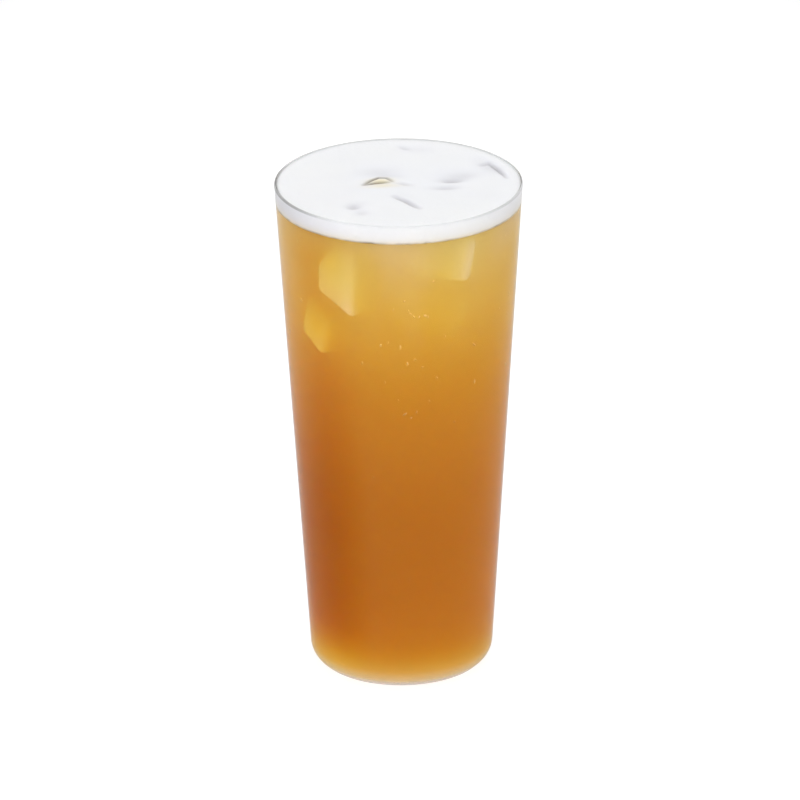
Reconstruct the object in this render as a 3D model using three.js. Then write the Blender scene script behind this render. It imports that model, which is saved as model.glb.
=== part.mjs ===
// Iced tea with a foam head in a tall thin-walled tumbler.
// Millimetres, +Z up. The origin is on the table, on the glass's axis.
// Three pieces, each a closed solid turned about the axis: the clear glass, the tea that fills it
// and the foam that floats on the tea. The foam's top is uneven where ice lies just under it.
import * as THREE from "three";

// ---- glass ----
const HEIGHT = 187.5; // table to lip
const RIM_R = 45.0; // outer radius at the lip
const BASE_R = 33.1; // outer radius where the wall's line meets the table
const FOOT_FILLET = 8.0; // outer rounding between wall and base
const WALL = 1.2; // wall thickness
const FLOOR = 1.8; // thickness of the base
const BOWL_FILLET = 6.5; // inner rounding between wall and base
const PUNT_R = 21.5; // the underside is hollowed inside this radius
const PUNT_DEPTH = 0.6; // and the glass stands on the flat ring around it

// ---- contents ----
const TEA_LEVEL = 180.45; // where tea and foam meet
const FOAM_FIELD = 186.9; // the foam's mean level
const FOAM_CLIMB = 0.3; // how far the foam climbs at the wall
const GAP = 0.3; // clearance between neighbouring pieces

// ---- fineness ----
const TURNS = 72; // sides of each turned piece
const FOAM_RINGS = 24; // rings across the foam's top

const tan = (HEIGHT / (RIM_R - BASE_R)); // slope of the wall
const lean = Math.atan2(HEIGHT, RIM_R - BASE_R); // the wall's angle from horizontal
const outerR = (z) => BASE_R + z / tan;
const innerR = (z, offset) => outerR(z) - offset / Math.sin(lean);

// An arc of n + 1 points about (r, z), from angle a to angle b.
function arc(r, z, radius, a, b, n) {
  const points = [];
  for (let i = 0; i <= n; i++) {
    const t = a + ((b - a) * i) / n;
    points.push(new THREE.Vector2(r + radius * Math.cos(t), z + radius * Math.sin(t)));
  }
  return points;
}

// The rounded corner between a floor at height z0 and the leaning wall that is `offset` inside the outer one.
function corner(z0, offset, radius, n) {
  const reach = radius / Math.tan((Math.PI - lean) / 2);
  const r = innerR(z0, offset) - reach;
  return arc(r, z0 + radius, radius, -Math.PI / 2, lean - Math.PI / 2, n);
}

// Turns a profile of (radius, height) about the Z axis.
function turned(profile) {
  return new THREE.LatheGeometry(profile, TURNS).rotateX(Math.PI / 2);
}

function glassProfile() {
  const p = [];
  // hollow of the underside, from the axis out to the standing ring
  for (let i = 0; i <= 4; i++) {
    const u = i / 4;
    p.push(new THREE.Vector2(PUNT_R * u, PUNT_DEPTH * (1 - u * u) * (1 - u * u)));
  }
  p.push(...corner(0, 0, FOOT_FILLET, 7)); // foot
  // lip: a half circle from the outer to the inner wall
  const half = WALL / 2;
  const lipZ = HEIGHT - half;
  p.push(...arc(outerR(lipZ) - half, lipZ, half, lean - Math.PI / 2, lean + Math.PI / 2, 6));
  p.push(...corner(FLOOR, WALL, BOWL_FILLET, 6).reverse()); // inside, down to the bowl's floor
  p.push(new THREE.Vector2(0, FLOOR));
  return p;
}

function teaProfile() {
  const top = TEA_LEVEL - GAP / 2;
  return [
    new THREE.Vector2(0, FLOOR + GAP),
    ...corner(FLOOR + GAP, WALL + GAP, BOWL_FILLET - GAP, 6),
    new THREE.Vector2(innerR(top, WALL + GAP), top),
    new THREE.Vector2(0, top),
  ];
}

// ---- the foam's relief: what the ice under it does to its top ----
// A soft round hump (h > 0) or hollow (h < 0), a and b its half-widths and turn its angle.
const HUMPS = [
  { x: -5.6, y: 3.1, a: 8.5, b: 4.5, turn: 0.1, h: 0.45 }, // over the corner of ice that breaks through
  { x: 19.3, y: 2.6, a: 4.4, b: 2.1, turn: 0.1, h: -0.75 }, // hollows on the right
  { x: 22.5, y: 6.6, a: 5.5, b: 3.0, turn: 0.2, h: -0.35 },
  { x: 17.0, y: -4.8, a: 4.8, b: 1.9, turn: 0.05, h: -0.6 },
  { x: -16.2, y: -23.4, a: 2.3, b: 2.2, turn: 0.4, h: -0.85 }, // small pit at the front left
  { x: -13.4, y: -29.5, a: 2.4, b: 2.4, turn: -0.6, h: -0.35 },
  { x: 0.5, y: -21.4, a: 7.0, b: 4.5, turn: -0.9, h: 0.3 },
  { x: -26.0, y: 8.1, a: 14.0, b: 11.0, turn: 0.5, h: 0.25 },
  { x: 3.0, y: 23.1, a: 12.0, b: 7.0, turn: -0.2, h: 0.3 },
  { x: 34.0, y: 16.6, a: 8.0, b: 4.0, turn: -1.0, h: -0.45 }, // sunk towards the wall at the back right
];
// A crease along the line through its points: w its half-width and h its depth.
const CREASES = [
  { through: [[-1.6, -12.9], [2.6, -17.5], [7.4, -24.9]], w: 1.25, h: -1.5 },
  { through: [[16.5, 2.2], [22.0, 2.9]], w: 1.1, h: -0.5 },
  { through: [[29.7, 18.1], [33.2, 20.7], [36.4, 14.1], [39.2, 5.1]], w: 0.95, h: -1.2 },
  { through: [[0.2, 37.7], [4.1, 33.7]], w: 1.3, h: -0.45 },
  { through: [[-2.0, 1.1], [1.0, 0.3], [4.6, -1.9]], w: 1.5, h: -0.6 },
  { through: [[-12.8, -1.5], [-8.6, -0.2], [-3.6, 0.7]], w: 1.0, h: -0.9 }, // foot of the broken corner
];

// 1 on a bent line, falling off to its sides over w and fading towards its ends.
function nearLine(x, y, through, w) {
  let total = 0, run = 0, best = 0;
  for (let i = 1; i < through.length; i++) total += Math.hypot(through[i][0] - through[i - 1][0], through[i][1] - through[i - 1][1]);
  for (let i = 1; i < through.length; i++) {
    const [x0, y0] = through[i - 1], [x1, y1] = through[i];
    const dx = x1 - x0, dy = y1 - y0, length = Math.hypot(dx, dy);
    const t = Math.min(1, Math.max(0, ((x - x0) * dx + (y - y0) * dy) / (length * length)));
    const d = Math.hypot(x - x0 - t * dx, y - y0 - t * dy) / w;
    best = Math.max(best, Math.exp(-d * d) * (0.3 + 0.7 * Math.sin((Math.PI * (run + t * length)) / total)));
    run += length;
  }
  return best;
}

function relief(x, y) {
  let z = 0;
  for (const f of HUMPS) {
    const c = Math.cos(f.turn), s = Math.sin(f.turn);
    const u = ((x - f.x) * c + (y - f.y) * s) / f.a;
    const v = (-(x - f.x) * s + (y - f.y) * c) / f.b;
    z += f.h * Math.exp(-(u * u + v * v));
  }
  for (const f of CREASES) z += f.h * nearLine(x, y, f.through, f.w);
  return z;
}

function foamGeometry() {
  const bottom = TEA_LEVEL + GAP / 2;
  const edge = FOAM_FIELD + FOAM_CLIMB;
  const offset = WALL + GAP;
  const profile = [
    new THREE.Vector2(0, bottom),
    new THREE.Vector2(innerR(bottom, offset), bottom),
    new THREE.Vector2(innerR(edge, offset), edge),
  ];
  const rim = innerR(edge, offset);
  for (let i = FOAM_RINGS - 1; i >= 0; i--) {
    const r = (rim * i) / FOAM_RINGS;
    profile.push(new THREE.Vector2(r, FOAM_FIELD + FOAM_CLIMB * Math.exp(-(rim - r) / 1.6)));
  }
  const geometry = turned(profile);
  const at = geometry.attributes.position;
  const middle = (bottom + edge) / 2;
  for (let i = 0; i < at.count; i++) {
    if (at.getZ(i) < middle) continue;
    const x = at.getX(i), y = at.getY(i);
    const calm = Math.min(1, (rim - Math.hypot(x, y)) / 4); // the relief dies out at the wall
    at.setZ(i, at.getZ(i) + relief(x, y) * Math.max(0, calm));
  }
  geometry.computeVertexNormals();
  return geometry;
}

const glassMaterial = new THREE.MeshStandardMaterial({ color: 0xe9f0f0, roughness: 0.03, metalness: 0, transparent: true, opacity: 0.3 });
const teaMaterial = new THREE.MeshStandardMaterial({ color: 0xba6d1e, roughness: 0.1, metalness: 0 });
const foamMaterial = new THREE.MeshStandardMaterial({ color: 0xf4f3f1, roughness: 0.75, metalness: 0 });

const drink = new THREE.Group();
for (const [name, geometry, material] of [
  ["glass", turned(glassProfile()), glassMaterial],
  ["tea", turned(teaProfile()), teaMaterial],
  ["foam", foamGeometry(), foamMaterial],
]) {
  const mesh = new THREE.Mesh(geometry, material);
  mesh.name = name;
  drink.add(mesh);
}

export default drink;
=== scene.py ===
# Iced tea with a foam head in a tall thin-walled tumbler: the looks.
# Lengths in the tables below are millimetres; meshes are made in metres.
import math
import random

import bpy
from mathutils import Euler, Matrix, Vector, noise


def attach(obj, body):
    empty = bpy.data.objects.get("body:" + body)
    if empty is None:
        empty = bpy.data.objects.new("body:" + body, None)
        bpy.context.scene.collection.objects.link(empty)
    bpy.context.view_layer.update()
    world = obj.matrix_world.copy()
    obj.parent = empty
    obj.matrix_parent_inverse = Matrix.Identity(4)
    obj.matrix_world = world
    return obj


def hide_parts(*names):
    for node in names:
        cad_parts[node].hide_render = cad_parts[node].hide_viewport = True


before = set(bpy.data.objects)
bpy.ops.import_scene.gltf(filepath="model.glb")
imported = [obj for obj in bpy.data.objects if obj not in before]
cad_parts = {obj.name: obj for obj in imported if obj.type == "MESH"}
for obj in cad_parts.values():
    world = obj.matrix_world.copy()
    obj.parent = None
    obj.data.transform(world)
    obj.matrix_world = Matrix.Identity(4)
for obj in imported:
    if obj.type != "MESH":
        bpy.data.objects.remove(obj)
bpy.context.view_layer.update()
MM = 0.001

# ---------------------------------------------------------------- sizes, as in the construction
HEIGHT, RIM_R, BASE_R = 187.5, 45.0, 33.1
FOOT_FILLET, WALL, FLOOR, BOWL_FILLET = 8.0, 1.2, 1.8, 6.5
PUNT_R, PUNT_DEPTH = 21.5, 0.6
TEA_LEVEL, FOAM_FIELD, FOAM_CLIMB = 180.45, 186.9, 0.3
INTO_WALL = 0.25  # how far the contents reach into the glass, so that no air shows between them

LEAN = math.atan2(HEIGHT, RIM_R - BASE_R)


def outer_r(z):
    return BASE_R + z * (RIM_R - BASE_R) / HEIGHT


def inner_r(z, offset=WALL):
    return outer_r(z) - offset / math.sin(LEAN)


def arc(r, z, radius, a, b, n):
    return [(r + radius * math.cos(a + (b - a) * i / n), z + radius * math.sin(a + (b - a) * i / n)) for i in range(n + 1)]


def corner(z0, offset, radius, n):
    """The rounded corner between a floor at z0 and the leaning wall `offset` inside the outer one."""
    reach = radius / math.tan((math.pi - LEAN) / 2)
    return arc(inner_r(z0, offset) - reach, z0 + radius, radius, -math.pi / 2, LEAN - math.pi / 2, n)


def line(a, b, n):
    """Points after a, up to and with b: n equal steps, and one more close to each end, so that a bend next to it stays local."""
    close = min(0.2, 0.2 * math.dist(a, b) / n) / math.dist(a, b)
    steps = [close] + [i / n for i in range(1, n)] + [1 - close, 1.0]
    return [(a[0] + (b[0] - a[0]) * t, a[1] + (b[1] - a[1]) * t) for t in steps]


# ---------------------------------------------------------------- mesh helpers
def new_mesh(name, verts, faces, smooth=True):
    me = bpy.data.meshes.new(name)
    me.from_pydata([(x * MM, y * MM, z * MM) for x, y, z in verts], [], faces)
    me.validate()
    me.update()
    if smooth:
        me.shade_smooth()
        me.set_sharp_from_angle(angle=math.radians(40))
    ob = bpy.data.objects.new(name, me)
    bpy.context.scene.collection.objects.link(ob)
    return ob


def turned(profile, n):
    """Verts and faces of a profile of (radius, height) turned about Z. It starts and ends on the axis."""
    verts, faces, rings = [], [], []
    for r, z in profile:
        if r < 1e-6:
            rings.append([len(verts)])
            verts.append((0.0, 0.0, z))
        else:
            rings.append(list(range(len(verts), len(verts) + n)))
            verts += [(r * math.cos(2 * math.pi * k / n), r * math.sin(2 * math.pi * k / n), z) for k in range(n)]
    for a, b in zip(rings, rings[1:]):
        for k in range(n):
            k1 = (k + 1) % n
            if len(a) == 1 and len(b) == 1:
                continue
            if len(a) == 1:
                faces.append((a[0], b[k1], b[k]))
            elif len(b) == 1:
                faces.append((a[k], a[k1], b[0]))
            else:
                faces.append((a[k], a[k1], b[k1], b[k]))
    return verts, faces


# ---------------------------------------------------------------- materials
def material(name):
    m = bpy.data.materials.new(name)
    m.use_nodes = True
    nt = m.node_tree
    nt.nodes.clear()
    out = nt.nodes.new("ShaderNodeOutputMaterial")
    bsdf = nt.nodes.new("ShaderNodeBsdfPrincipled")
    nt.links.new(bsdf.outputs[0], out.inputs["Surface"])
    return m, nt, bsdf, out


def link(nt, a, b):
    nt.links.new(a, b)


def noise_at(nt, scale, detail):
    n = nt.nodes.new("ShaderNodeTexNoise")
    n.inputs["Scale"].default_value = scale
    n.inputs["Detail"].default_value = detail
    link(nt, nt.nodes.new("ShaderNodeTexCoord").outputs["Object"], n.inputs["Vector"])
    return n.outputs["Fac"]


def ramp(nt, value, start, end, low, high):
    mr = nt.nodes.new("ShaderNodeMapRange")
    mr.interpolation_type = "SMOOTHSTEP"
    for k, v in (("From Min", start), ("From Max", end), ("To Min", low), ("To Max", high)):
        mr.inputs[k].default_value = v
    link(nt, value, mr.inputs["Value"])
    return mr.outputs[0]


def times(nt, a, c):
    mt = nt.nodes.new("ShaderNodeMath")
    mt.operation = "MULTIPLY"
    link(nt, a, mt.inputs[0])
    link(nt, c, mt.inputs[1])
    return mt.outputs[0]


def mixed(nt, factor, a, c):
    mx = nt.nodes.new("ShaderNodeMix")
    mx.data_type = "RGBA"
    link(nt, factor, mx.inputs["Factor"])
    for key, v in (("A", a), ("B", c)):
        if isinstance(v, tuple):
            mx.inputs[key].default_value = v + (1,)
        else:
            link(nt, v, mx.inputs[key])
    return mx.outputs["Result"]


def height(nt):
    sep = nt.nodes.new("ShaderNodeSeparateXYZ")
    link(nt, nt.nodes.new("ShaderNodeTexCoord").outputs["Object"], sep.inputs[0])
    return sep.outputs["Z"]


def uneven(nt, b, scale, detail, strength, depth):
    """A slightly uneven surface: depth in metres."""
    bump = nt.nodes.new("ShaderNodeBump")
    bump.inputs["Strength"].default_value = strength
    bump.inputs["Distance"].default_value = depth
    link(nt, noise_at(nt, scale, detail), bump.inputs["Height"])
    link(nt, bump.outputs[0], b.inputs["Normal"])


def glass_material(name, ior, gloss, tint=(1.0, 1.0, 1.0), painted_rim_shade=None):
    """Clear blown glass: slightly wavy, with a breath of a film on it. The last argument, if given, is a painted dark
    reflection: a colour laid on the left and, less so, on the right of the front.
    """
    m, nt, b, out = material(name)
    colour = mixed(nt, noise_at(nt, 55.0, 3.0), tuple(0.985 * c for c in tint), tint)
    # painted dark reflection: the side tint greys the left and, less so, the right of the front
    if painted_rim_shade:
        sep = nt.nodes.new("ShaderNodeSeparateXYZ")
        link(nt, nt.nodes.new("ShaderNodeTexCoord").outputs["Object"], sep.inputs[0])
        off = nt.nodes.new("ShaderNodeMath")
        off.operation = "ABSOLUTE"
        link(nt, sep.outputs["X"], off.inputs[0])
        side = times(nt, ramp(nt, off.outputs[0], 0.020, 0.041, 0.0, 1.0), ramp(nt, sep.outputs["Y"], 0.002, 0.024, 1.0, 0.15))
        side = times(nt, side, ramp(nt, sep.outputs["X"], 0.0, 0.02, 1.0, 0.4))
        colour = mixed(nt, side, colour, painted_rim_shade)
    link(nt, colour, b.inputs["Base Color"])
    b.inputs["Transmission Weight"].default_value = 1.0
    b.inputs["Roughness"].default_value = 0.0
    b.inputs["IOR"].default_value = ior
    b.inputs["Specular Tint"].default_value = (gloss, gloss, gloss, 1)
    uneven(nt, b, 70.0, 1.0, 0.12, 0.0004)
    return m


GLASS_IOR, LIP_IOR, FOOT_IOR, TEA_IOR, ICE_IOR = 1.19, 1.45, 1.0, 1.15, 1.01  # the ice's is against the tea around it
# the last tint, round the edge of the floor, is paler as painted light coming up through the base
TEA_TINT = (1.0, 0.69, 0.32), (1.0, 0.73, 0.36), (1.0, 0.832, 0.635), (1.0, 0.945, 0.85)  # low down, from swirl to swirl, at the top and round the floor
TEA_ABSORBS = (0.3, 2.2, 13.0)


def tea_material():
    """Amber tea: stronger low down, lighter near the top, in faint swirls, and paler round the edge of the floor, which
    is painted light from below.
    """
    m, nt, b, out = material("amber_tea")
    rise = ramp(nt, height(nt), 0.055, 0.165, 0.0, 1.0)
    strong = mixed(nt, noise_at(nt, 34.0, 2.0), TEA_TINT[0], TEA_TINT[1])
    flat = nt.nodes.new("ShaderNodeVectorMath")
    flat.operation = "MULTIPLY"
    link(nt, nt.nodes.new("ShaderNodeTexCoord").outputs["Object"], flat.inputs[0])
    flat.inputs[1].default_value = (1, 1, 0)
    off = nt.nodes.new("ShaderNodeVectorMath")
    off.operation = "LENGTH"
    link(nt, flat.outputs[0], off.inputs[0])
    # painted light from below: paler round the edge of the floor
    painted_floor_light = times(nt, ramp(nt, off.outputs["Value"], 0.0225, 0.027, 0.0, 1.0), ramp(nt, height(nt), 0.0026, 0.0085, 1.0, 0.0))
    link(nt, mixed(nt, painted_floor_light, mixed(nt, rise, strong, TEA_TINT[2]), TEA_TINT[3]), b.inputs["Base Color"])
    b.inputs["Transmission Weight"].default_value = 1.0
    b.inputs["Roughness"].default_value = 0.0
    b.inputs["IOR"].default_value = TEA_IOR
    b.inputs["Specular Tint"].default_value = (0.3, 0.3, 0.3, 1)
    v = nt.nodes.new("ShaderNodeVolumeAbsorption")
    s = TEA_ABSORBS  # absorbed per metre, in red, green and blue
    v.inputs["Density"].default_value = 1000.0
    v.inputs["Color"].default_value = (1 - s[0] / 1000, 1 - s[1] / 1000, 1 - s[2] / 1000, 1)
    nt.links.new(v.outputs[0], out.inputs["Volume"])
    return m


def foam_material():
    """Dense milk foam: cool white, with painted shade in its dents, on a few slopes and against the wall on the left,
    amber where tea has come up through it, pricked with fine bubbles.
    """
    m, nt, b, out = material("milk_foam")
    at = nt.nodes.new("ShaderNodeTexCoord").outputs["Object"]

    def marks(name):
        n = nt.nodes.new("ShaderNodeAttribute")
        n.attribute_name = name
        return n.outputs["Fac"]

    white = mixed(nt, noise_at(nt, 38.0, 4.0), FOAM_COOL, FOAM_WARM)
    # painted shade: greyer in the dents, on a few slopes and against the wall on the left
    painted_shade = mixed(nt, marks("painted_shade"), white, FOAM_PAINTED_SHADE)
    cream = mixed(nt, marks("cream"), painted_shade, FOAM_CREAM)
    link(nt, mixed(nt, marks("stain"), cream, FOAM_STAIN), b.inputs["Base Color"])
    b.inputs["Roughness"].default_value = 0.6
    firm = nt.nodes.new("ShaderNodeMapRange")  # the marks stay sharp
    firm.inputs["From Max"].default_value = 0.5
    firm.inputs["To Min"].default_value = 1.0
    firm.inputs["To Max"].default_value = 0.1
    link(nt, marks("stain"), firm.inputs["Value"])
    link(nt, firm.outputs[0], b.inputs["Subsurface Weight"])
    b.inputs["Subsurface Radius"].default_value = (1.0, 1.0, 1.0)
    b.inputs["Subsurface Scale"].default_value = 0.004
    cells = nt.nodes.new("ShaderNodeTexVoronoi")
    cells.feature = "SMOOTH_F1"
    cells.inputs["Scale"].default_value = 850.0
    link(nt, at, cells.inputs["Vector"])
    both = nt.nodes.new("ShaderNodeMath")
    both.operation = "ADD"
    link(nt, cells.outputs["Distance"], both.inputs[0])
    link(nt, noise_at(nt, 420.0, 3.0), both.inputs[1])
    bump = nt.nodes.new("ShaderNodeBump")
    bump.inputs["Strength"].default_value = 0.25
    bump.inputs["Distance"].default_value = 0.0004
    link(nt, both.outputs[0], bump.inputs["Height"])
    link(nt, bump.outputs[0], b.inputs["Normal"])
    return m


FOAM_COOL, FOAM_WARM = (0.855, 0.868, 0.920), (0.910, 0.918, 0.955)
# the first is the grey of the painted shade in the foam; then the cream and the brown stain the tea gives it
FOAM_PAINTED_SHADE, FOAM_CREAM, FOAM_STAIN = (0.56, 0.55, 0.575), (0.86, 0.78, 0.55), (0.17, 0.12, 0.05)


# ---------------------------------------------------------------- the tumbler
LIP = 0.65  # height of the polished lip


def make_glass():
    p = [(PUNT_R * u, PUNT_DEPTH * (1 - u * u) ** 2) for u in (i / 16 for i in range(17))]
    p += corner(0, 0, FOOT_FILLET, 24)
    half = WALL / 2
    lip_z = HEIGHT - half
    lip = arc(outer_r(lip_z) - half, lip_z, half, LEAN - math.pi / 2, LEAN + math.pi / 2, 14)
    p += line(p[-1], lip[0], 10)[:-1] + lip
    bowl = corner(FLOOR, WALL, BOWL_FILLET, 22)[::-1]
    p += line(lip[-1], bowl[0], 10)[:-1] + bowl
    p += line(bowl[-1], (0.0, FLOOR), 4)
    ob = new_mesh("tumbler", *turned(p, 192))
    ob.data.materials.append(glass_material("clear_glass", GLASS_IOR, 0.3))
    # the lip: grey-green glass with a painted dark reflection at its front left and, less so, front right
    ob.data.materials.append(glass_material("clear_glass_lip", LIP_IOR, 1.0, (0.91, 0.925, 0.925), (0.27, 0.265, 0.25)))
    ob.data.materials.append(glass_material("clear_glass_foot", FOOT_IOR, 0.3))
    for f in ob.data.polygons:
        if f.center.z > (HEIGHT - LIP) * MM:
            f.material_index = 1
        elif f.center.z < 1.2 * MM:
            f.material_index = 2
    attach(ob, "root")
    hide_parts("glass")
    return ob


# ---------------------------------------------------------------- the ice, floating under the foam
ICE = [  # centre, half sizes, turn in degrees, and how much the block leans: height gained per length along its first side
    ((-17.8, -24.8, 163.4), (8.0, 9.5, 11.5), (-5, 0, -33), -0.5),
    ((15.0, -23.8, 170.6), (11.5, 10.0, 8.6), (-4, 8, -3), 0.0),
    ((-23.7, -17.9, 140.2), (6.8, 8.2, 7.6), (-8, 12, -53), -0.3),
    ((9.0, -17.5, 148.3), (12.6, 9.8, 8.2), (4, 22, 12), 0.0),
    ((22.8, 16.9, 168.9), (10.4, 11.1, 10.9), (27, -90, -81), 0.0),
    ((1.3, 4.0, 168.4), (10.8, 10.9, 11.2), (19, 90, -30), 0.0),
    ((-19.8, 16.5, 166.6), (12.7, 11.1, 11.8), (-97, -90, 133), 0.0),
    ((18.3, 14.4, 143.5), (12.4, 12.6, 12.2), (-94, -1, 111), 0.0),
    ((-14.6, 14.4, 140.0), (13.1, 13.2, 13.1), (-90, 0, -17), 0.0),
]
ICE_ROUND, ICE_MELT = 2.6, 0.7  # edge rounding, unevenness
ICE_CUT = {0: ((-0.76, 0.0, 0.65), 6.57)}  # a corner broken off: which block, which way the break faces and how far out it is


def ice_block(centre, half, turn, lean, seed, less=0.0):
    """Verts and faces of a melted cube with rounded edges. less shrinks it all round."""
    h = [v - less for v in half]
    rad = ICE_ROUND - less
    ticks = []
    for v in h:
        flat = v - rad
        bend = [flat + rad * math.tan(math.radians(11.25 * k)) for k in range(1, 5)]
        inner = [flat * (2 * i / 6 - 1) for i in range(7)]
        ticks.append([-c for c in reversed(bend)] + inner + bend)
    n = len(ticks[0]) - 1
    turned_by = Euler([math.radians(a) for a in turn]).to_matrix()
    index, verts, faces = {}, [], []

    def vert(i, j, k):
        if (i, j, k) not in index:
            c = Vector((ticks[0][i], ticks[1][j], ticks[2][k]))
            q = Vector([max(-(v - rad), min(v - rad, x)) for v, x in zip(h, c)])
            d = (c - q).normalized()
            p = q + rad * d
            lumps = noise.noise(p * 0.085 + Vector((seed * 7.3, seed * 1.9, 3.1))) + 0.35 * noise.noise(p * 0.22 + Vector((1.7, seed * 5.1, 0.4)))
            p = p - d * ICE_MELT * (0.55 + 0.8 * lumps)
            p.z += lean * p.x
            if seed in ICE_CUT:
                way, far = ICE_CUT[seed]
                over = max(0.0, p.dot(Vector(way)) - far + less)
                p -= Vector(way) * over * over / (over + 1.2)
            index[i, j, k] = len(verts)
            verts.append(tuple(turned_by @ p + Vector(centre)))
        return index[i, j, k]

    for axis in range(3):
        for side in (0, n):
            for a in range(n):
                for b in range(n):
                    quad = []
                    for da, db in ((0, 0), (1, 0), (1, 1), (0, 1)):
                        t = [0, 0, 0]
                        t[axis], t[(axis + 1) % 3], t[(axis + 2) % 3] = side, a + da, b + db
                        quad.append(vert(*t))
                    faces.append(tuple(quad if side else quad[::-1]))
    return verts, faces


def joined(parts):
    verts, faces = [], []
    for v, f in parts:
        n = len(verts)
        verts += v
        faces += [tuple(i + n for i in q) for q in f]
    return verts, faces


def ice_material():
    """Ice with fine bubbles frozen into it: cloudy in patches, its faces pitted by the melting."""
    m, nt, b, out = material("clear_ice")
    patches = noise_at(nt, 90.0, 2.0)
    link(nt, mixed(nt, patches, (0.97, 0.985, 1.0), (1.0, 1.0, 1.0)), b.inputs["Base Color"])
    uneven(nt, b, 160.0, 2.0, 0.3, 0.0006)
    b.inputs["Transmission Weight"].default_value = 1.0
    b.inputs["Roughness"].default_value = 0.0
    b.inputs["IOR"].default_value = ICE_IOR
    v = nt.nodes.new("ShaderNodeVolumeScatter")
    link(nt, mixed(nt, ramp(nt, noise_at(nt, 240.0, 3.0), 0.35, 0.65, 0.0, 1.0), ICE_SOAKED, (1.0, 1.0, 1.0)), v.inputs["Color"])
    link(nt, ramp(nt, patches, 0.3, 0.7, *ICE_CLOUD), v.inputs["Density"])
    v.inputs["Anisotropy"].default_value = 0.0
    nt.links.new(v.outputs[0], out.inputs["Volume"])
    return m


ICE_CLOUD = (500.0, 1300.0)  # scattered per metre by the fine bubbles frozen into it, where they are few and many
ICE_SOAKED = (0.998, 0.990, 0.958)  # what is left of the light where tea has soaked into fine cracks


def make_ice():
    ob = new_mesh("ice_cubes", *joined([ice_block(*c, seed=i) for i, c in enumerate(ICE)]))
    ob.data.materials.append(ice_material())
    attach(ob, "root")
    return ob


def tea_body(inset, ice_less=None):
    """The drink's body. inset is how far it stays off the inner wall, floor and foam. With ice_less it is hollow where the ice is."""
    off, z0, top_z = WALL + inset, FLOOR + inset, TEA_LEVEL - max(inset, 0)
    p = [(0.0, z0)]
    c = corner(z0, off, BOWL_FILLET - inset, 22)
    p += line(p[0], c[0], 4)[:-1] + c
    top = (inner_r(top_z, off), top_z)
    p += line(c[-1], top, 12) + line(top, (0.0, top_z), 6)
    parts = [turned(p, 192)]
    for i, block in enumerate(ICE if ice_less is not None else ()):
        v, f = ice_block(*block, seed=i, less=ice_less)
        parts.append((v, [q[::-1] for q in f]))
    return joined(parts)


def make_tea():
    ob = new_mesh("iced_tea", *tea_body(-INTO_WALL))
    ob.data.materials.append(tea_material())
    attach(ob, "root")
    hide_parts("tea")
    return ob


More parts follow.
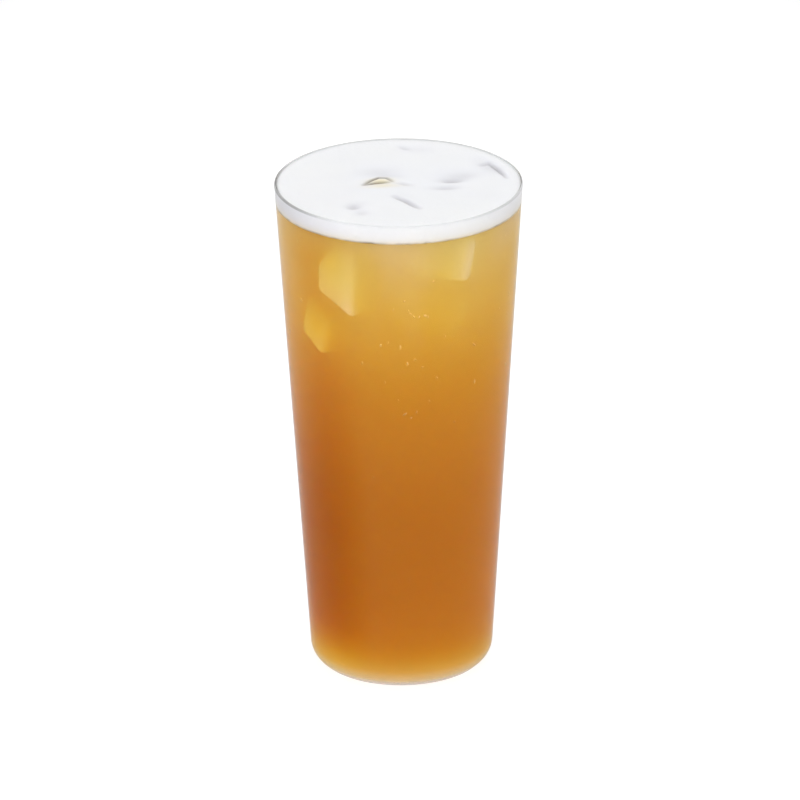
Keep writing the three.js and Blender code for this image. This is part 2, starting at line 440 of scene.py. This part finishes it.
def haze_material():
    """Fine tea solids and milk in suspension: the tea is strongest low down, and milk from the foam clouds its top in
    swirls. On the left it absorbs more and clouds less, which is painted shade; along the left edge and just off the
    floor it absorbs less, which is painted light.
    """
    m, nt, b, out = material("tea_haze")
    nt.nodes.remove(b)
    clear = nt.nodes.new("ShaderNodeBsdfTransparent")
    link(nt, clear.outputs[0], out.inputs["Surface"])
    at = nt.nodes.new("ShaderNodeTexCoord").outputs["Object"]
    sep = nt.nodes.new("ShaderNodeSeparateXYZ")
    link(nt, at, sep.inputs[0])

    swirl = nt.nodes.new("ShaderNodeTexNoise")
    swirl.inputs["Scale"].default_value = 42.0
    swirl.inputs["Detail"].default_value = 1.0
    swirl.inputs["Distortion"].default_value = 0.6
    drawn = nt.nodes.new("ShaderNodeMapping")  # drawn out into streaks that lean to the left going down
    drawn.inputs["Rotation"].default_value = (0.0, math.radians(-28), 0.0)
    drawn.inputs["Scale"].default_value = (1.5, 1.0, 0.55)
    link(nt, at, drawn.inputs["Vector"])
    link(nt, drawn.outputs[0], swirl.inputs["Vector"])
    def up(start, end, low=0.0, high=1.0):
        return ramp(nt, sep.outputs["Z"], start * MM, end * MM, low, high)

    def math_node(kind, a, c):
        mt = nt.nodes.new("ShaderNodeMath")
        mt.operation = kind
        for socket, v in zip(mt.inputs, (a, c)):
            if isinstance(v, float):
                socket.default_value = v
            else:
                link(nt, v, socket)
        return mt.outputs[0]

    radius = math_node("ADD", math_node("MULTIPLY", sep.outputs["Z"], (RIM_R - BASE_R) / HEIGHT), BASE_R * MM)
    across = math_node("DIVIDE", sep.outputs["X"], radius)  # -1 at the left edge, 1 at the right
    # painted shade: the tea absorbs more and clouds less towards the left
    right = ramp(nt, across, HAZE_LEFT_SHADE[0], HAZE_LEFT_SHADE[1], 0.0, 1.0)
    # painted light: weak again along the left edge, in a wider strip higher up
    right = math_node("MAXIMUM", right, ramp(nt, across, *HAZE_EDGE_LIGHT[0]))
    right = math_node("MAXIMUM", right, times(nt, ramp(nt, across, *HAZE_EDGE_LIGHT[1]), up(*HAZE_EDGE_LIGHT[2])))
    milk_with_left_shade = times(nt, ramp(nt, right, 0.0, 1.0, HAZE_LEFT_SHADE[2], 1.0), ramp(nt, swirl.outputs["Fac"], 0.3, 0.65, HAZE_SWIRL, 1.0))
    milk_with_left_shade = times(nt, up(*HAZE_MILKY), milk_with_left_shade)
    left_low, right_low, left_mid, right_mid, top, left_floor, right_floor = [tuple(1 - k / 1000 for k in v) for v in HAZE_ABSORBS]
    # painted light from below: paler just off the floor
    low = mixed(nt, right, mixed(nt, up(*HAZE_FLOOR_LIGHT[0]), left_floor, left_low), mixed(nt, up(*HAZE_FLOOR_LIGHT[1]), right_floor, right_low))
    mid = mixed(nt, right, left_mid, right_mid)
    soak = nt.nodes.new("ShaderNodeVolumeAbsorption")
    soak.inputs["Density"].default_value = 1000.0
    link(nt, mixed(nt, milk_with_left_shade, mixed(nt, up(*HAZE_WEAKER), low, mid), top), soak.inputs["Color"])
    cloud = nt.nodes.new("ShaderNodeVolumeScatter")
    cloud.inputs["Color"].default_value = (1, 1, 1, 1)
    cloud.inputs["Anisotropy"].default_value = HAZE_FORWARD
    link(nt, math_node("ADD", up(*HAZE_MILKY, *HAZE), up(*HAZE_TOP)), cloud.inputs["Density"])
    add = nt.nodes.new("ShaderNodeAddShader")
    link(nt, soak.outputs[0], add.inputs[0])
    link(nt, cloud.outputs[0], add.inputs[1])
    link(nt, add.outputs[0], out.inputs["Volume"])
    return m


HAZE_LEFT_SHADE, HAZE_SWIRL = (-0.73, -0.25, 0.25), 0.6  # painted shade on the left: where across it the tea's absorption eases towards the right, and how milky its shaded left stays; how milky it stays between the swirls
HAZE_EDGE_LIGHT = (-0.95, -0.86, 0.9, 0.0), (-0.95, -0.68, 1.0, 0.0), (65.0, 125.0)  # painted light along the left edge: the tea is weak again there, in a wider strip above: from where to where across, how weak, and from height to height
HAZE_FLOOR_LIGHT = (2.0, 23.0), (2.0, 14.0)  # painted light from below: from height to height, off the floor on the left and on the right
HAZE_WEAKER, HAZE_MILKY = (50.0, 140.0), (110.0, 180.0)  # and weaker and milky
HAZE, HAZE_FORWARD = (80.0, 165.0), 0.0  # scattered per metre low down and at the top, and how much of it goes on forward
HAZE_TOP = (167.0, 181.0, 0.0, 90.0)  # and how much more right under the foam, from height to height
HAZE_ABSORBS = [  # absorbed per metre, in red, green and blue
    # the left entries are darker with painted shade
    (22.0, 78.0, 750.0),  # low down on the left
    (11.0, 36.0, 220.0),  # low down on the right
    (8.0, 34.0, 280.0),  # half way up on the left
    (4.5, 16.5, 230.0),  # half way up on the right
    (0.0, 3.2, 30.0),  # where it is milky
    # the floor entries are paler with painted light from below
    (3.5, 9.0, 60.0),  # on the floor on the left
    (6.0, 13.0, 50.0),  # on the floor on the right
]


def make_haze():
    """The fine haze suspended in the tea."""
    ob = new_mesh("tea_haze", *tea_body(0.12, -0.06))
    ob.data.materials.append(haze_material())
    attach(ob, "root")
    return ob


HUMPS = [  # x, y, half-widths a and b, turn, height
    (-5.6, 3.1, 8.5, 4.5, 0.1, 0.45),
    (19.3, 2.6, 4.4, 2.1, 0.1, -0.75),
    (22.5, 6.6, 5.5, 3.0, 0.2, -0.35),
    (17.0, -4.8, 4.8, 1.9, 0.05, -0.60),
    (-16.2, -23.4, 2.3, 2.2, 0.4, -0.85),
    (-13.4, -29.5, 2.4, 2.4, -0.6, -0.35),
    (0.5, -21.4, 7.0, 4.5, -0.9, 0.30),
    (-26.0, 8.1, 14.0, 11.0, 0.5, 0.25),
    (3.0, 23.1, 12.0, 7.0, -0.2, 0.30),
    (34.0, 16.6, 8.0, 4.0, -1.0, -0.45),
]
CREASES = [  # points, half-width, depth
    ([(-1.6, -12.9), (2.6, -17.5), (7.4, -24.9)], 1.25, -1.5),
    ([(16.5, 2.2), (22.0, 2.9)], 1.1, -0.5),
    ([(29.7, 18.1), (33.2, 20.7), (36.4, 14.1), (39.2, 5.1)], 0.95, -1.2),
    ([(0.2, 37.7), (4.1, 33.7)], 1.3, -0.45),
    ([(-2.0, 1.1), (1.0, 0.3), (4.6, -1.9)], 1.5, -0.6),
]
SLIT = [  # where the corner of an ice block breaks through: its far edge and its near edge
    ([(-12.8, -1.3), (-10.0, 2.1), (-7.2, 4.8), (-4.4, 4.4), (-2.2, 1.7)], 0.55, -0.9),
    ([(-12.8, -1.5), (-8.6, -0.2), (-3.6, 0.7)], 0.65, -1.1),
]
TIP = (-6.6, 1.7, 4.8, 2.6, 0.15)  # the ice corner between them: x, y, half-widths, turn
GLOW = (-5.8, -2.7, 6.4, 2.0, 0.1)  # the foam in front of it, which the tea has tinted
SHADE_PATCHES = [  # painted shade on a few slopes of the foam: x, y, half-widths, turn, how much
    (-7.0, 10.5, 7.0, 5.0, 0.05, 0.28), (-3.5, 6.6, 5.0, 2.2, 0.0, 0.20), (6.5, 34.0, 6.0, 3.6, -0.2, 0.12),
    (21.0, 8.5, 10.0, 5.5, 0.2, 0.10), (-15.5, -20.6, 4.5, 2.6, 0.3, 0.14), (2.0, -15.0, 7.0, 4.0, -0.8, 0.08),
]


def oval(x, y, fx, fy, a, b, turn):
    c, s = math.cos(turn), math.sin(turn)
    u = ((x - fx) * c + (y - fy) * s) / a
    v = (-(x - fx) * s + (y - fy) * c) / b
    return math.exp(-(u * u + v * v))


def near_line(x, y, points, w):
    """1 on a bent line, falling off to its sides over w and fading towards its ends."""
    total = sum(math.dist(a, b) for a, b in zip(points, points[1:]))
    best, run = 0.0, 0.0
    for (x0, y0), (x1, y1) in zip(points, points[1:]):
        dx, dy = x1 - x0, y1 - y0
        n = math.hypot(dx, dy)
        t = min(1.0, max(0.0, ((x - x0) * dx + (y - y0) * dy) / (n * n)))
        d = math.hypot(x - x0 - t * dx, y - y0 - t * dy) / w
        best = max(best, math.exp(-d * d) * (0.3 + 0.7 * math.sin(math.pi * (run + t * n) / total)))
        run += n
    return best


def relief(x, y):
    z = sum(h * oval(x, y, *o) for *o, h in HUMPS)
    z += sum(h * near_line(x, y, points, w) for points, w, h in CREASES)
    return z + sum(h * near_line(x, y, points, w) for points, w, h in SLIT)


def make_foam():
    off = WALL - INTO_WALL
    bottom = TEA_LEVEL - INTO_WALL
    edge = FOAM_FIELD + FOAM_CLIMB
    rim = inner_r(edge, WALL - LIP_WET)
    p = [(0.0, bottom)] + line((0.0, bottom), (inner_r(bottom, off), bottom), 6)
    p += line(p[-1], (inner_r(HEIGHT - WALL, off), HEIGHT - WALL), 14)
    p += line(p[-1], (rim, edge), 3)
    rings = 110
    for i in range(rings - 1, -1, -1):
        r = rim * i / rings
        p.append((r, FOAM_FIELD + FOAM_CLIMB * math.exp(-(rim - r) / 1.6)))
    verts, faces = turned(p, 256)
    moved, painted_shade, cream, stain = [], [], [], []
    for x, y, z in verts:
        top = z >= FOAM_FIELD - 1e-6 and math.hypot(x, y) < rim - 0.05
        dz = relief(x, y) * min(1.0, max(0.0, (rim - math.hypot(x, y)) / 4)) if top else 0.0
        slit = max(near_line(x, y, points, w * 1.3) for points, w, h in SLIT) if top else 0.0
        moved.append((x, y, z + dz))
        # painted shade on a few of the foam's slopes
        patch_shade = sum(k * oval(x, y, *o) for *o, k in SHADE_PATCHES) if top else 0.0
        side = z < FOAM_FIELD and math.hypot(x, y) > inner_r(z) - 0.05
        # painted shade on the foam against the wall, on the left
        if side:
            patch_shade = SIDE_SHADE * min(1.0, max(0.0, (-x - 16) / 24))
        # painted shade: greyer the deeper the foam dips, plus the shade patches and the shade against the left wall
        painted_shade.append(min(1.0, 1 - math.exp(-max(0.0, -dz) / 1.1) + patch_shade))
        cream.append(min(1.0, 0.9 * oval(x, y, *TIP) + 0.55 * oval(x, y, *GLOW)) if top else FOOT_CREAM * math.exp(-((z - bottom) / 1.1) ** 2) if side else 0.0)
        ragged = 0.55 + 0.9 * noise.noise(Vector((x, y, 0.0)) * 0.16) + 0.5 * noise.noise(Vector((x, y, 9.0)) * 0.6)
        stain.append(slit if top else max(0.0, FOOT_STAIN * ragged) * math.exp(-((z - bottom) / 0.5) ** 2) if side else 0.0)
    ob = new_mesh("milk_foam_head", moved, faces)
    for name, values in (("painted_shade", painted_shade), ("cream", cream), ("stain", stain)):
        ob.data.attributes.new(name, "FLOAT", "POINT").data.foreach_set("value", values)
    ob.data.materials.append(foam_material())
    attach(ob, "root")
    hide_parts("foam")
    return ob


LIP_WET = 0.5  # how far the foam lies over the rounded lip
FOOT_STAIN, FOOT_CREAM = 0.75, 0.35  # how much the tea has tinted the foam where it floats on it: a brown line and a cream band
SIDE_SHADE = 0.3  # how much painted shade the foam gets against the wall on the left


# ---------------------------------------------------------------- bubbles and flecks of foam that cling to the wall under the surface
FLECKS = [  # degrees round the wall from the front, height, radius, depth behind the wall
    (17.0, 164.5, 0.42, 1.2), (2.4, 157.4, 0.40, 1.4), (7.2, 151.2, 0.50, 1.3), (13.0, 151.3, 0.44, 1.3), (10.0, 151.0, 0.33, 1.4),
    (-9.8, 139.8, 0.42, 1.4), (0.4, 139.2, 0.38, 1.4), (4.0, 132.6, 0.38, 1.4), (42.0, 136.0, 0.42, 1.2), (43.5, 121.0, 0.38, 1.2),
    (2.6, 112.4, 0.38, 1.3), (31.0, 107.0, 0.38, 1.3), (-15.6, 86.6, 0.38, 1.3), (-3.0, 154.0, 0.28, 1.6), (-20.0, 132.0, 0.28, 1.6),
    (4.6, 153.6, 0.30, 1.4), (5.6, 152.4, 0.30, 1.3), (14.6, 150.6, 0.30, 1.4), (-6.0, 141.0, 0.28, 1.5), (8.0, 134.0, 0.28, 1.5),
    (12.0, 130.8, 0.26, 1.6), (6.0, 110.8, 0.30, 1.4), (9.0, 113.0, 0.26, 1.5), (-1.0, 118.0, 0.26, 1.6), (20.0, 126.0, 0.26, 1.6),
    (24.0, 142.0, 0.28, 1.5), (-8.0, 125.0, 0.26, 1.6), (16.0, 117.0, 0.28, 1.5),
]
STRAY_FLECKS = 60


def make_flecks():
    rng = random.Random(11)
    marks = list(FLECKS)
    for i in range(STRAY_FLECKS):
        marks.append((rng.uniform(55, 305), 60 + 116 * rng.random() ** 0.6, rng.uniform(0.25, 0.5), rng.uniform(1.4, 2.6)))
    parts = []
    for degrees, z, radius, depth in marks:
        a = math.radians(degrees - 90)
        turn = Euler((rng.uniform(0, 6.28), rng.uniform(0, 6.28), rng.uniform(0, 6.28))).to_matrix()
        size = Vector((rng.uniform(1.2, 2.6), rng.uniform(0.6, 0.85), rng.uniform(0.6, 0.85))) * radius
        r = inner_r(z) - max(0.85 * depth, size.x + 0.1)
        v, f = turned([(math.sin(math.pi * i / 8), -math.cos(math.pi * i / 8)) for i in range(9)], 12)
        v = [turn @ Vector((x * size.x, y * size.y, h * size.z)) + Vector((r * math.cos(a), r * math.sin(a), z)) for x, y, h in v]
        parts.append(([tuple(q) for q in v], f))
    ob = new_mesh("tea_flecks", *joined(parts))
    m, nt, b, out = material("foam_flecks")
    speck = nt.nodes.new("ShaderNodeTexNoise")
    speck.inputs["Scale"].default_value = 90.0
    link(nt, nt.nodes.new("ShaderNodeTexCoord").outputs["Object"], speck.inputs["Vector"])
    mx = nt.nodes.new("ShaderNodeMix")
    mx.data_type = "RGBA"
    mx.inputs["A"].default_value = (0.82, 0.62, 0.32, 1)
    mx.inputs["B"].default_value = (0.95, 0.84, 0.58, 1)
    link(nt, speck.outputs["Fac"], mx.inputs["Factor"])
    link(nt, mx.outputs["Result"], b.inputs["Base Color"])
    b.inputs["Roughness"].default_value = 0.5
    ob.data.materials.append(m)
    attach(ob, "root")
    return ob


make_glass()
make_tea()
make_haze()
make_ice()
make_foam()
make_flecks()


# ---------------------------------------------------------------- stage, camera and light
FLOOR_NEAR, FLOOR_FAR, FLOOR_UNDER = 0.80, 0.25, 0.3

FLOOR_MIRRORED = 0.5  # how much of it the glass mirrors


def make_floor():
    n, R = 96, 4000.0
    verts = [(0, 0, -0.3)] + [(R * math.cos(2 * math.pi * k / n), R * math.sin(2 * math.pi * k / n), -0.3) for k in range(n)]
    faces = [(0, 1 + k, 1 + (k + 1) % n) for k in range(n)]
    ob = new_mesh("floor", verts, faces, smooth=False)
    m, nt, b, out = material("pale_floor")
    b.inputs["Base Color"].default_value = (0.35, 0.35, 0.35, 1)
    b.inputs["Roughness"].default_value = 0.8
    b.inputs["Specular IOR Level"].default_value = 0.0
    b.inputs["Emission Color"].default_value = (1, 1, 1, 1)
    # a lit table: brightest behind the glass, falling off away from it
    at = nt.nodes.new("ShaderNodeTexCoord").outputs["Object"]

    def pool(cx, cy, ax, ay, inner, outer, low, high):
        """A soft oval of light about (cx, cy), metres: high inside, low outside."""
        mp = nt.nodes.new("ShaderNodeMapping")
        mp.vector_type = "TEXTURE"
        mp.inputs["Location"].default_value = (cx, cy, 0)
        mp.inputs["Scale"].default_value = (ax, ay, 1)
        nt.links.new(at, mp.inputs["Vector"])
        ln = nt.nodes.new("ShaderNodeVectorMath")
        ln.operation = "LENGTH"
        nt.links.new(mp.outputs[0], ln.inputs[0])
        mr = nt.nodes.new("ShaderNodeMapRange")
        mr.interpolation_type = "SMOOTHSTEP"
        for k, v in (("From Min", inner), ("From Max", outer), ("To Min", high), ("To Max", low)):
            mr.inputs[k].default_value = v
        nt.links.new(ln.outputs["Value"], mr.inputs["Value"])
        return mr.outputs[0]

    add = nt.nodes.new("ShaderNodeMath")
    add.operation = "ADD"
    nt.links.new(pool(0.0, 0.25, 0.26, 0.60, 0.8, 1.5, FLOOR_FAR, FLOOR_NEAR), add.inputs[0])
    nt.links.new(pool(0.0, 0.0, 0.03, 0.03, 0.5, 1.1, 0.0, FLOOR_UNDER), add.inputs[1])
    mirrored = nt.nodes.new("ShaderNodeMapRange")
    mirrored.inputs["To Min"].default_value = 1.0
    mirrored.inputs["To Max"].default_value = FLOOR_MIRRORED
    nt.links.new(nt.nodes.new("ShaderNodeLightPath").outputs["Is Glossy Ray"], mirrored.inputs["Value"])
    dim = nt.nodes.new("ShaderNodeMath")
    dim.operation = "MULTIPLY"
    nt.links.new(add.outputs[0], dim.inputs[0])
    nt.links.new(mirrored.outputs[0], dim.inputs[1])
    nt.links.new(dim.outputs[0], b.inputs["Emission Strength"])
    m.cycles.emission_sampling = "NONE"
    ob.data.materials.append(m)


make_floor()

ELEV, ROLL = math.radians(22.4846), math.radians(-0.4084)
TARGET, DIST = Vector((0, 0, 102.1)) * MM, 3.0
cam = bpy.data.objects.new("camera", bpy.data.cameras.new("camera"))
bpy.context.scene.collection.objects.link(cam)
cam.data.sensor_width = 36.0
cam.data.lens = 369.46
cam.data.clip_start, cam.data.clip_end = 0.1, 50.0
back = Vector((0, -math.cos(ELEV), math.sin(ELEV)))
up = Vector((0, math.sin(ELEV), math.cos(ELEV)))
right = Vector((1, 0, 0))
r2 = math.cos(ROLL) * right + math.sin(ROLL) * up
u2 = -math.sin(ROLL) * right + math.cos(ROLL) * up
cam.matrix_world = Matrix.Translation(TARGET + back * DIST) @ Matrix((r2, u2, back)).transposed().to_4x4()
bpy.context.scene.camera = cam

world = bpy.data.worlds.new("studio")
bpy.context.scene.world = world
world.use_nodes = True
world.cycles.sampling_method = "NONE"  # the light is found by the paths themselves: most of it comes through the drink


def light_tent():
    """A studio with white walls, brightest in front of the object and darker to its sides, and a soft white ceiling."""
    nt = world.node_tree
    sep = nt.nodes.new("ShaderNodeSeparateXYZ")
    nt.links.new(nt.nodes.new("ShaderNodeTexCoord").outputs["Generated"], sep.inputs[0])

    def ramp(axis, low, high, stops):
        mr = nt.nodes.new("ShaderNodeMapRange")
        mr.inputs["From Min"].default_value = low
        mr.inputs["From Max"].default_value = high
        nt.links.new(sep.outputs[axis], mr.inputs["Value"])
        cr = nt.nodes.new("ShaderNodeValToRGB")
        cr.color_ramp.interpolation = "EASE"
        els = cr.color_ramp.elements
        while len(els) < len(stops):
            els.new(0.5)
        for el, (p, v) in zip(els, stops):
            el.position, el.color = p, (v, v, v, 1)
        nt.links.new(mr.outputs[0], cr.inputs["Fac"])
        return cr.outputs["Color"]

    def mix(kind, factor, a, b):
        mx = nt.nodes.new("ShaderNodeMix")
        mx.data_type, mx.blend_type = "RGBA", kind
        for key, v in (("Factor", factor), ("A", a), ("B", b)):
            if isinstance(v, (float, tuple)):
                mx.inputs[key].default_value = v
            else:
                nt.links.new(v, mx.inputs[key])
        return mx.outputs["Result"]

    walls = mix("MULTIPLY", 1.0, ramp("Y", -1.0, 1.0, WALLS_FRONT_TO_BACK), ramp("X", -1.0, 1.0, WALLS_LEFT_TO_RIGHT))
    tent = mix("MIX", ramp("Z", 0.2, 0.75, [(0.0, 0.0), (1.0, 1.0)]), walls, (CEILING, CEILING, CEILING, 1))
    nt.links.new(tent, nt.nodes["Background"].inputs["Color"])
    nt.nodes["Background"].inputs["Strength"].default_value = 1.0


WALLS_FRONT_TO_BACK = [(0.0, 2.70), (0.3, 2.42), (0.7, 1.54), (1.0, 1.45)]
WALLS_LEFT_TO_RIGHT = [(0.0, 0.65), (0.25, 0.92), (0.55, 1.03), (1.0, 0.5)]
CEILING = 0.79
light_tent()


sc = bpy.context.scene
sc.view_settings.view_transform = "Standard"
sc.view_settings.look = "None"
sc.cycles.max_bounces = 96
sc.cycles.transmission_bounces = 96
sc.cycles.glossy_bounces = 8
sc.cycles.diffuse_bounces = 6
sc.cycles.transparent_max_bounces = 48
sc.cycles.volume_bounces = 48
sc.cycles.blur_glossy = 0.0
sc.cycles.use_denoising = True
